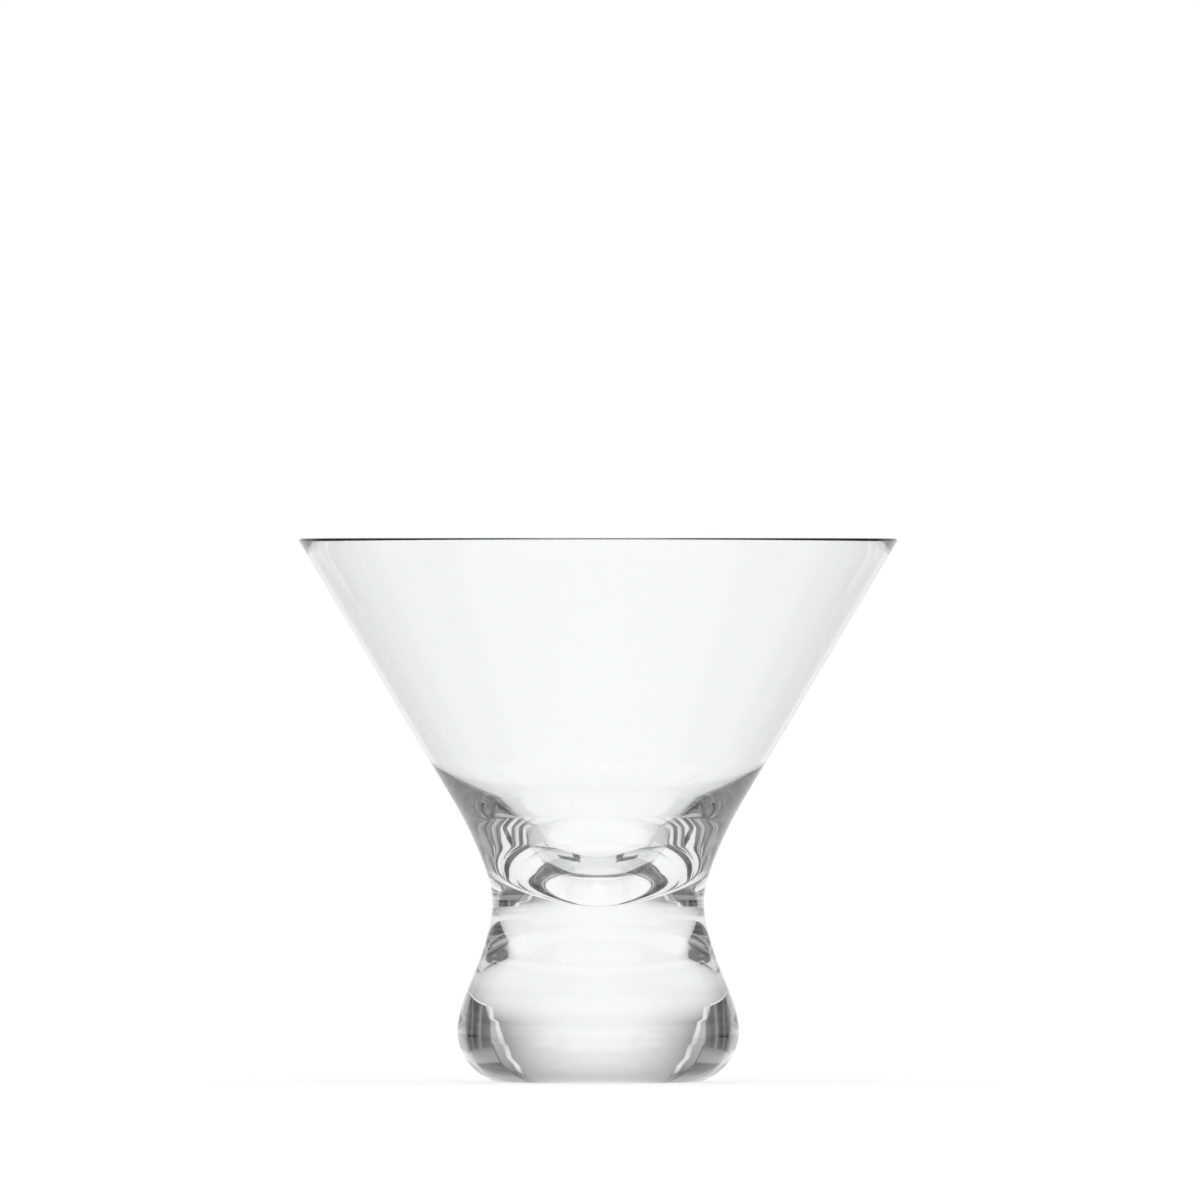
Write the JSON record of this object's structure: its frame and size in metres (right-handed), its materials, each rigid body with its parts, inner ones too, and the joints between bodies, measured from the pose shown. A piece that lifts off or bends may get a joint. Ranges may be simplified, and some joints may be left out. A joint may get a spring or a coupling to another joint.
{
  "type": "stemless cocktail glass",
  "caption": "Clear stemless cocktail glass: a thin V-shaped bowl with a rounded rim and a thick round well, joined hot onto a solid, waisted foot with a flat base.",
  "frame": {"origin": "centre of the flat face under the foot", "axes": "+Z is the glass's own axis, from the foot towards the rim; X and Y are across it and are alike"},
  "size_m": [0.1156, 0.1156, 0.105],
  "materials": {
    "clear_glass": "clear colourless glass, fire polished, with a ground flat under the foot"
  },
  "bodies": {
    "root": {"bowl": "clear_glass", "foot": "clear_glass"}
  },
  "joints": []
}
